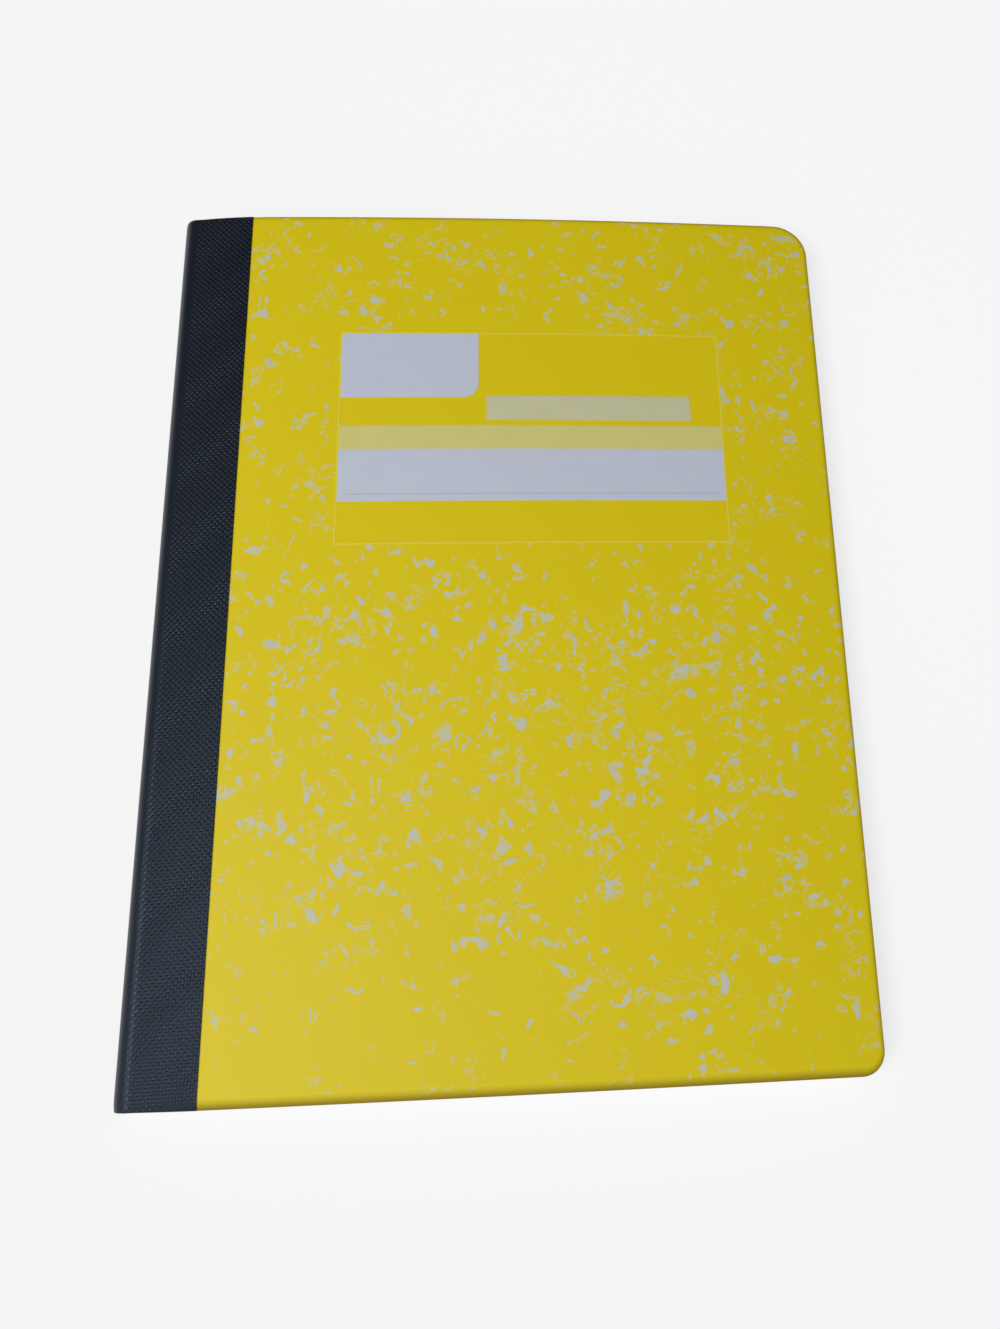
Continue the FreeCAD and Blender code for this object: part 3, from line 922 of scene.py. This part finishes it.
@dataclass
class CoverBoard:
    """One stiff cover board: printed outer face, rolled rim, raw cut edge."""

    side: Side
    section: Section
    rim: RolledRim
    print_finish: MarbledPrint
    ring_widths_mm: tuple[float, ...] = (0.1, 0.2, 0.3, 0.4, 0.6, 0.8, 1.0)
    columns: int = 60
    rows: int = 78
    mark_reach: float = 5.0 * MM
    printed_facing: float = 0.35

    @property
    def node(self) -> str:
        """Name of the frame's node that this board stands for."""
        return f"{self.side.value}_cover_board"

    @cached_property
    def mark_tree(self) -> KDTree:
        """Outline points of this cover's larger marks, seen from above, for finding the nearest."""
        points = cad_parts[f"{self.side.value}_marbling"].data.vertices
        tree = KDTree(len(points))
        for number, point in enumerate(points):
            tree.insert((point.co.x, point.co.y, 0.0), number)
        tree.balance()
        return tree

    @cached_property
    def thickness(self) -> float:
        """Thickness of either board, read off the level one."""
        low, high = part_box("back_cover_board")
        return high.z - low.z

    def blank(self, panel: Panel) -> Form:
        """Board before it is bent: outer face up, with rings of faces inside its rim.

        Args:
            panel: Its outline.

        Returns:
            The mesh, whose outer face lies at the thickness.
        """
        corners = [
            (panel.right, panel.head, self.rim.head_round),
            (panel.right, panel.tail, self.rim.tail_round),
        ]
        form = cut_sheet(panel, corners)
        top = thicken(form, self.thickness)
        for ring in self.ring_widths_mm:
            bmesh.ops.inset_region(form, faces=top, thickness=ring * MM, use_even_offset=True, use_boundary=True)
        slice_across(form, Vector((1.0, 0.0, 0.0)), steps(panel.left, panel.right, self.columns)[1:-1])
        slice_across(form, Vector((0.0, 1.0, 0.0)), steps(panel.tail, panel.head, self.rows)[1:-1])
        return form

    def height(self, x: float, y: float, depth: float) -> float:
        """Height of a layer of the board at a place.

        Args:
            x: Place across the board.
            y: Place up the board.
            depth: How far the layer lies in from the outer face.

        Returns:
            The height.
        """
        pressed = depth + self.rim.drop(x, y) * (1.0 - depth / self.thickness)
        if self.side is Side.FRONT:
            return self.section.front_height(x, pressed)
        return self.section.tape_wall + pressed

    def build(self) -> Piece:
        """Builds and dresses the board.

        Returns:
            The piece.
        """
        form = self.blank(Panel.around(self.node))
        rolled = form.verts.layers.float.new("rolled")
        near_mark = form.verts.layers.float.new("near_mark")
        for vert in form.verts:
            vert[rolled] = math.sqrt(self.rim.drop(vert.co.x, vert.co.y) / self.rim.tail_drop)
            _, _, distance = self.mark_tree.find((vert.co.x, vert.co.y, 0.0))
            vert[near_mark] = clamped(1.0 - distance / self.mark_reach)
            vert.co.z = self.height(vert.co.x, vert.co.y, self.thickness - vert.co.z)
        face_outward(form)
        for face in form.faces:
            face.material_index = 0 if face.normal.z * self.side.outward > self.printed_facing else 1
        finishes = [self.print_finish.material(), RawBoard().material()]
        piece = finished_piece(f"{self.side.value}_board", form, finishes)
        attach(piece, self.side.body)
        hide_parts(self.node)
        return piece


@dataclass
class BindingTape:
    """One half of the cloth tape: from its edge on a board, over the crease, to the middle of the spine."""

    side: Side
    section: Section
    rim: RolledRim
    finish: Material
    wall: float = 0.25 * MM
    crease_reach: float = 0.9 * MM
    columns: tuple[int, ...] = (3, 20, 28, 18)
    end_rows_mm: tuple[float, ...] = (0.0, 0.1, 0.3, 0.6, 1.0, 1.6, 2.4, 3.4)
    spine_roll: float = 0.35
    wall_squeeze: float = 0.3
    roll_reach: float = 4.0 * MM
    # Width of the band along the tape's edge on the board where painted shadow is laid.
    selvedge: float = 0.6 * MM
    middle_rows: int = 16

    @property
    def flap(self) -> str:
        """Name of the frame's node that lies on the board."""
        return f"{self.side.value}_tape_flap"

    def stations(self) -> list[float]:
        """Places along the tape's outer face, from its edge on the board to the middle of the spine."""
        flap, spine = self.lengths()
        reach = self.crease_reach
        stops = [0.0, self.selvedge, flap - reach, flap + reach, flap + spine]
        places = [0.0]
        for start, stop, count in zip(stops, stops[1:], self.columns):
            places += steps(start, stop, count)[1:]
        return places

    def lengths(self) -> tuple[float, float]:
        """Lengths of the flap, and of the round from the flap to the middle of the spine."""
        _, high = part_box(self.flap)
        section = self.section
        if self.side is Side.FRONT:
            reach = section.bend_radius + section.tape_wall
            edge = math.acos((high.x - section.bend.x) / reach)
            return reach * (section.shoulder - edge), section.spine_round * (math.pi - section.shoulder)
        return high.x - section.spine.x, section.spine_round * math.pi / 2

    def laid(self, along: float, depth: float) -> Vector:
        """Point of the tape in the closed notebook.

        Args:
            along: Place along the tape from its edge on the board.
            depth: How far in from its outer face.

        Returns:
            The point, at Y zero.
        """
        section = self.section
        flap, _ = self.lengths()
        past = along - flap
        if self.side is Side.FRONT:
            if past > 0:
                angle = section.shoulder + past / section.spine_round
                return section.round_point(angle, section.spine_round - depth)
            reach = section.bend_radius + section.tape_wall
            angle = section.shoulder + past / reach
            return section.bend + (reach - depth) * Vector((math.cos(angle), 0.0, math.sin(angle)))
        if past > 0:
            angle = STRAIGHT_DOWN - past / section.spine_round
            return section.round_point(angle, section.spine_round - depth)
        return Vector((section.spine.x - past, 0.0, depth))

    def pressed(self, along: float, y: float, depth: float) -> Vector:
        """Point of the tape in the closed notebook, rolled down with the boards at its two ends.

        Args:
            along: Place along the tape from its edge on the board.
            y: Place up the tape.
            depth: How far in from its outer face.

        Returns:
            The point.
        """
        flap, _ = self.lengths()
        past = clamped((along - flap) / self.roll_reach + 0.5)
        drop = self.rim.drop(self.laid(along, 0.0).x, y) * (1.0 - (1.0 - self.spine_roll) * past)
        point = self.laid(along, depth + drop * (1.0 - self.wall_squeeze * depth / self.wall))
        return Vector((point.x, y, point.z))

    def rows(self) -> list[float]:
        """Places up the tape, close together at both trimmed ends."""
        cover = self.rim.cover
        ends = [distance * MM for distance in self.end_rows_mm]
        low = [cover.tail + end for end in ends]
        high = [cover.head - end for end in reversed(ends)]
        return low[:-1] + steps(low[-1], high[0], self.middle_rows) + high[1:]

    def build(self) -> Piece:
        """Builds and dresses the half.

        Returns:
            The piece.
        """
        stations = self.stations()
        form = ruled_grid(stations, self.rows())
        weave = form.loops.layers.uv.new("weave")
        for face in form.faces:
            for loop in face.loops:
                loop[weave].uv = (self.side.outward * (loop.vert.co.x - stations[-1]), loop.vert.co.y)
        thicken(form, self.wall)
        # Painted shadow: one at the tape's edge on the board, falling to zero across the band where dark shade is
        # painted.
        selvedge = form.verts.layers.float.new("selvedge")
        for vert in form.verts:
            vert[selvedge] = clamped(1.0 - vert.co.x / self.selvedge)
            vert.co = self.pressed(*vert.co)
        face_outward(form)
        piece = finished_piece(f"{self.side.value}_binding_tape", form, [self.finish])
        self.bend_with_cover(piece)
        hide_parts(self.flap, "spine_tape")
        return piece

    def bend_with_cover(self, piece: Piece) -> None:
        """Bakes a piece's placement into its mesh.

        Args:
            piece: The tape, or what lies along it.
        """
        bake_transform(piece)


@dataclass
class GutterPaper:
    """Lining paper that runs on inside the crease, from the board's edge to the fold of the leaves."""

    tape: BindingTape
    finish: Material
    before_crease: float = 1.0 * MM
    past_crease: float = 4.0 * MM
    clear: float = 0.02 * MM
    wall: float = 0.05 * MM
    columns: int = 44

    def build(self) -> Piece:
        """Builds and dresses the strip.

        Returns:
            The piece.
        """
        crease, _ = self.tape.lengths()
        stations = steps(crease - self.before_crease, crease + self.past_crease, self.columns)
        form = ruled_grid(stations, self.tape.rows())
        thicken(form, self.wall)
        for vert in form.verts:
            vert.co = self.tape.pressed(vert.co.x, vert.co.y, self.tape.wall + self.clear + vert.co.z)
        face_outward(form)
        piece = finished_piece(f"{self.tape.side.value}_gutter_paper", form, [self.finish])
        self.tape.bend_with_cover(piece)
        return piece


@dataclass
class Leaves:
    """One hundred leaves: fifty sheets folded one inside the other, trimmed together."""

    section: Section
    rim: RolledRim
    sheets: int = 50
    paper_share: float = 0.86
    innermost: float = 0.995
    outer_facing: float = -0.5
    fold_reach: float = 9.0 * MM
    fold_columns: int = 18
    leaf_columns: int = 16
    ragged: float = 0.07 * MM
    clump: float = 0.10
    seed: int = 12

    @cached_property
    def block(self) -> tuple[Vector, Vector]:
        """Box of the leaves in the frame."""
        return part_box("page_block")

    @cached_property
    def half(self) -> float:
        """Length of one leaf, from the fold to the fore-edge, laid flat."""
        _, high = self.block
        return high.x - self.section.spine.x + self.fold_reach

    def flat_sheet(self) -> bpy.types.Mesh:
        """One unfolded sheet: fold at X zero, outer face at height zero, inner face at one."""
        low, high = self.block
        half = self.half
        panel = Panel(-half, half, low.y, high.y)
        corners = [
            (sign * half, y, radius)
            for sign in (-1, 1)
            for y, radius in ((high.y, self.rim.head_round), (low.y, self.rim.tail_round))
        ]
        form = cut_sheet(panel, corners)
        thicken(form, 1.0)
        folds = steps(-self.fold_reach, self.fold_reach, self.fold_columns)
        runs = steps(self.fold_reach, half, self.leaf_columns)[1:-1]
        slice_across(form, Vector((1.0, 0.0, 0.0)), folds + runs + [-run for run in runs])
        mesh = bpy.data.meshes.new("flat_sheet")
        form.to_mesh(mesh)
        form.free()
        return mesh

    def folded(self, along: float, share: float, trim: float) -> Vector:
        """Point of a folded sheet in the closed notebook.

        Args:
            along: Place along the unfolded sheet, positive on its upper leaf.
            share: How far in the point lies, from the outermost face at zero to the middle at one.
            trim: How far short the sheet is cut.

        Returns:
            The point, at Y zero.
        """
        low, high = self.block
        section = self.section
        radius = (section.spine.x - low.x) * (1.0 - share)
        if abs(along) < self.fold_reach:
            turned = (1.0 - along / self.fold_reach) / 2
            angle = section.shoulder + (STRAIGHT_DOWN - section.shoulder) * turned
            return section.round_point(angle, radius)
        run = (abs(along) - self.fold_reach) / (self.half - self.fold_reach)
        start = section.round_point(section.shoulder if along > 0 else STRAIGHT_DOWN, radius).x
        x = start + (high.x - trim - start) * run
        upper = section.front_height(x, section.crest - high.z)
        middle = (upper + low.z) / 2
        outer = upper if along > 0 else low.z
        return Vector((x, 0.0, outer + (middle - outer) * share))

    def build(self) -> Piece:
        """Builds and dresses the leaves.

        Returns:
            The piece.
        """
        dice = random.Random(self.seed)
        template = self.flat_sheet()
        form = bmesh.new()
        for number in range(self.sheets):
            first_vert, first_face = len(form.verts), len(form.faces)
            form.from_mesh(template)
            form.verts.ensure_lookup_table()
            form.faces.ensure_lookup_table()
            slack = dice.uniform(-self.clump, self.clump) * (0 < number < self.sheets - 1)
            trim = dice.uniform(0.0, self.ragged)
            for face in form.faces[first_face:]:
                outermost = number == 0 and face.normal.z < self.outer_facing
                face.material_index = 1 if outermost and abs(face.calc_center_median().x) > self.fold_reach else 0
            for vert in form.verts[first_vert:]:
                share = (number + slack + self.paper_share * vert.co.z) / self.sheets
                point = self.folded(vert.co.x, min(share, self.innermost), trim)
                vert.co = (point.x, vert.co.y, point.z)
        bpy.data.meshes.remove(template)
        face_outward(form)
        low, high = self.block
        page = Panel(low.x, high.x, low.y, high.y)
        finishes = [PlainPaper("page_edges").material(), RuledPaper(page).material()]
        piece = finished_piece("leaves", form, finishes)
        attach(piece, "page_body")
        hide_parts("page_block")
        return piece


@dataclass
class MarblingMarks:
    """The larger pale marks of one cover: the frame's plain plates with torn edges, laid close on the board."""

    board: CoverBoard
    finish: Material
    sunk: float = 0.02 * MM
    proud: float = 0.04 * MM
    weld: float = 0.001 * MM
    plate_facing: float = 0.8
    straight: float = math.radians(2)
    longest_side: float = 0.40 * MM
    halvings: int = 4
    tears: tuple[tuple[float, float], ...] = ((0.3, 0.9 * MM), (0.8, 0.60 * MM), (1.9, 0.26 * MM))
    calm_rim: float = 2.5 * MM
    seed: int = 5

    def outlines(self, node: str) -> Form:
        """Outer faces of the frame's plates, one face to a mark.

        Args:
            node: The frame's node.

        Returns:
            The faces, laid flat at height zero.
        """
        form = bmesh.new()
        form.from_mesh(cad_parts[node].data)
        bmesh.ops.remove_doubles(form, verts=form.verts, dist=self.weld)
        self.keep_outer(form)
        bmesh.ops.dissolve_limit(form, angle_limit=self.straight, verts=form.verts, edges=form.edges)
        bmesh.ops.scale(form, vec=(1.0, 1.0, 0.0), verts=form.verts)
        return form

    def keep_outer(self, form: Form) -> None:
        """Deletes the faces that don't look outward.

        Args:
            form: The marks.
        """
        form.normal_update()
        others = [face for face in form.faces if face.normal.z * self.board.side.outward < self.plate_facing]
        bmesh.ops.delete(form, geom=others, context="FACES")

    def tear(self, form: Form) -> None:
        """Divides the outlines finely, rounds them, makes them ragged and drops what the tears fold over.

        Args:
            form: The marks.
        """
        for _ in range(self.halvings):
            long_sides = [edge for edge in form.edges if edge.calc_length() > self.longest_side]
            bmesh.ops.subdivide_edges(form, edges=long_sides, cuts=1)
        bmesh.ops.smooth_vert(form, verts=form.verts, factor=0.5, use_axis_x=True, use_axis_y=True)
        noise.seed_set(self.seed)
        for vert in form.verts:
            place = vert.co.copy()
            strength = clamped(self.board.rim.inward(place.x, place.y) / self.calm_rim)
            for per_mm, reach in self.tears:
                push = noise.noise_vector(place * (per_mm / MM))
                vert.co += Vector((push.x, push.y, 0.0)) * (reach * strength)
        bmesh.ops.triangulate(form, faces=form.faces)
        self.keep_outer(form)

    def build(self) -> Piece:
        """Builds and dresses the marks.

        Returns:
            The piece.
        """
        side = self.board.side
        node = f"{side.value}_marbling"
        form = self.outlines(node)
        self.tear(form)
        thicken(form, self.sunk + self.proud)
        for vert in form.verts:
            vert.co.z = self.board.height(vert.co.x, vert.co.y, self.sunk - vert.co.z)
        piece = finished_piece(f"{side.value}_marks", form, [self.finish])
        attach(piece, side.body)
        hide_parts(node)
        return piece


@dataclass
class PrintAndLining:
    """The frame's own nodes that keep their shape and take a finish."""

    lining: Material
    pale: Colour = (0.455, 0.480, 0.560)
    pale_worn: Colour = (0.435, 0.465, 0.545)
    straw: Colour = (0.53, 0.49, 0.175)
    straw_worn: Colour = (0.51, 0.475, 0.150)
    title: Colour = (0.475, 0.465, 0.300)
    title_worn: Colour = (0.465, 0.450, 0.260)
    line: Colour = (0.60, 0.51, 0.04)
    writing: Colour = (0.33, 0.35, 0.37)

    def dress(self) -> None:
        """Gives every kept node its finish."""
        pale = FieldPrint("pale_print", self.pale, self.pale_worn).material()
        finishes = {
            "label_frame_line": FieldPrint("line_print", self.line, self.line).material(),
            "label_corner_block": pale,
            "label_title_bar": FieldPrint("title_print", self.title, self.title_worn).material(),
            "label_name_box": pale,
            "label_pale_strip": FieldPrint("straw_print", self.straw, self.straw_worn).material(),
            "label_writing_line": FieldPrint("writing_print", self.writing, self.pale_worn).material(),
            "front_pastedown": self.lining,
            "back_pastedown": self.lining,
            "sewing_thread": CottonThread().material(),
        }
        for node, material in finishes.items():
            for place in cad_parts[node].material_slots:
                place.material = material
            log.info("%s: %s", node, material.name)


@dataclass
class Studio:
    """Pale floor, soft light and the camera."""

    floor_half: float = 3.0
    dim_sky: Colour = (0.075, 0.077, 0.082)
    bright_sky: Colour = (0.90, 0.93, 1.0)
    bright_from: tuple[float, float, float] = (-0.38, -0.72, 0.58)
    bright_rise: Rise = (0.08, 1.0)
    window_place: tuple[float, float, float] = (-0.38, -0.22, 0.82)
    window_size: float = 0.55
    window_power: float = 6.35
    window_colour: Colour = (1.0, 0.985, 0.95)
    eye: tuple[float, float, float] = (4.56 * MM, -83.36 * MM, 301.77 * MM)
    eye_right: tuple[float, float, float] = (0.9966, -0.0358, 0.0742)
    eye_up: tuple[float, float, float] = (0.0135, 0.9593, 0.2820)
    eye_back: tuple[float, float, float] = (-0.0813, -0.2801, 0.9565)
    lens: float = 29.54
    shift: tuple[float, float] = (-0.0820, -0.0481)
    nearest: float = 10.0 * MM

    def floor(self) -> None:
        """Lays the floor."""
        form = bmesh.new()
        bmesh.ops.create_grid(form, x_segments=2, y_segments=2, size=self.floor_half)
        finished_piece("studio_floor", form, [StudioFloor().material()])

    def light(self) -> None:
        """Sets the sky and the window light."""
        scene = bpy.context.scene
        scene.view_settings.view_transform = "Standard"
        scene.world = bpy.data.worlds.new("soft_sky")
        bench = Bench(scene.world)
        direction = bench.node("ShaderNodeTexCoord", {}, {}).outputs["Generated"]
        inputs = {0: direction, 1: self.bright_from}
        facing = bench.node("ShaderNodeVectorMath", {"operation": "DOT_PRODUCT"}, inputs).outputs["Value"]
        share = Reading(bench, facing).rise(*self.bright_rise)
        colour = bench.blend(share, self.dim_sky, self.bright_sky)
        sky = bench.node("ShaderNodeBackground", {}, {"Color": colour})
        bench.node("ShaderNodeOutputWorld", {}, {"Surface": sky.outputs[0]})
        lamp = bpy.data.lights.new("window", "AREA")
        lamp.size = self.window_size
        lamp.energy = self.window_power
        lamp.color = self.window_colour
        window = bpy.data.objects.new("window", lamp)
        window.location = self.window_place
        window.rotation_euler = (-Vector(self.window_place)).to_track_quat("-Z", "Y").to_euler()
        scene.collection.objects.link(window)

    def camera(self) -> None:
        """Sets the camera where the photograph was taken from."""
        lens = bpy.data.cameras.new("camera")
        lens.lens = self.lens
        lens.shift_x, lens.shift_y = self.shift
        lens.clip_start = self.nearest
        camera = bpy.data.objects.new("camera", lens)
        turn = Matrix((self.eye_right, self.eye_up, self.eye_back)).transposed().to_4x4()
        camera.matrix_world = Matrix.Translation(self.eye) @ turn
        bpy.context.scene.collection.objects.link(camera)
        bpy.context.scene.camera = camera

    def build(self) -> None:
        """Builds the studio."""
        self.floor()
        self.light()
        self.camera()


def main() -> None:
    """Builds the notebook's pieces in order, then the studio."""
    logging.basicConfig(level=logging.INFO, format="%(name)s %(message)s")
    section = Section.from_frame()
    front = Panel.around("front_cover_board")
    rim = RolledRim(Panel(section.spine_x, front.right, front.tail, front.head))
    label = Panel.around("label_frame_line")
    marks = FieldPrint("marble_print", ink=(0.445, 0.45, 0.36), worn=(0.46, 0.44, 0.27)).material()
    for side, bare in ((Side.FRONT, label), (Side.BACK, None)):
        board = CoverBoard(side, section, rim, MarbledPrint(f"{side.value}_marbled_print", bare))
        board.build()
        MarblingMarks(board, marks).build()
    cloth = BindingCloth().material()
    lining = PlainPaper("lining_paper").material()
    for side in Side:
        tape = BindingTape(side, section, rim, cloth)
        tape.build()
        GutterPaper(tape, lining).build()
    Leaves(section, rim).build()
    PrintAndLining(lining).dress()
    Studio().build()


if __name__ == "__main__":
    main()
